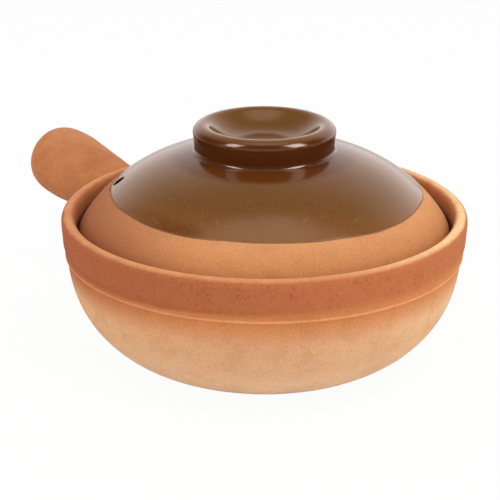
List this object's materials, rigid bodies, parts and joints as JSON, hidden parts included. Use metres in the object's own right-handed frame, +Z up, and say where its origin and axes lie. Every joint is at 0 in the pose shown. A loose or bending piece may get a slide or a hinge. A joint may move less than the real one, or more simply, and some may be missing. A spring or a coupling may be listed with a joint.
{
  "type": "clay cooking pot",
  "caption": "Round clay cooking pot with a hollow stick handle, a collared rim with an inner ledge, and a lift-off domed lid with a dished knob.",
  "frame": {"origin": "centre of the flat foot, on the surface that the pot stands on", "axes": "+Z up along the pot's own axis, -X towards the handle"},
  "size_m": [0.2779, 0.2, 0.1178],
  "materials": {
    "buff_clay": "matte fired clay, reddish at the collar and paler towards the foot",
    "red_clay": "matte fired clay",
    "brown_glaze": "glossy brown dip glaze"
  },
  "bodies": {
    "pot": {"pot_bowl": "buff_clay", "pot_glaze": "brown_glaze", "handle": "buff_clay", "handle_join_coil": "buff_clay"},
    "lid": {"lid_dome": "red_clay", "lid_knob": "red_clay", "knob_join_coil": "red_clay", "lid_glaze": "brown_glaze"}
  },
  "joints": [
    {"name": "lid_lift", "type": "slide", "parent": "pot", "child": "lid", "axis": [0, 0, 1], "range_m": [0, 0.12]}
  ]
}
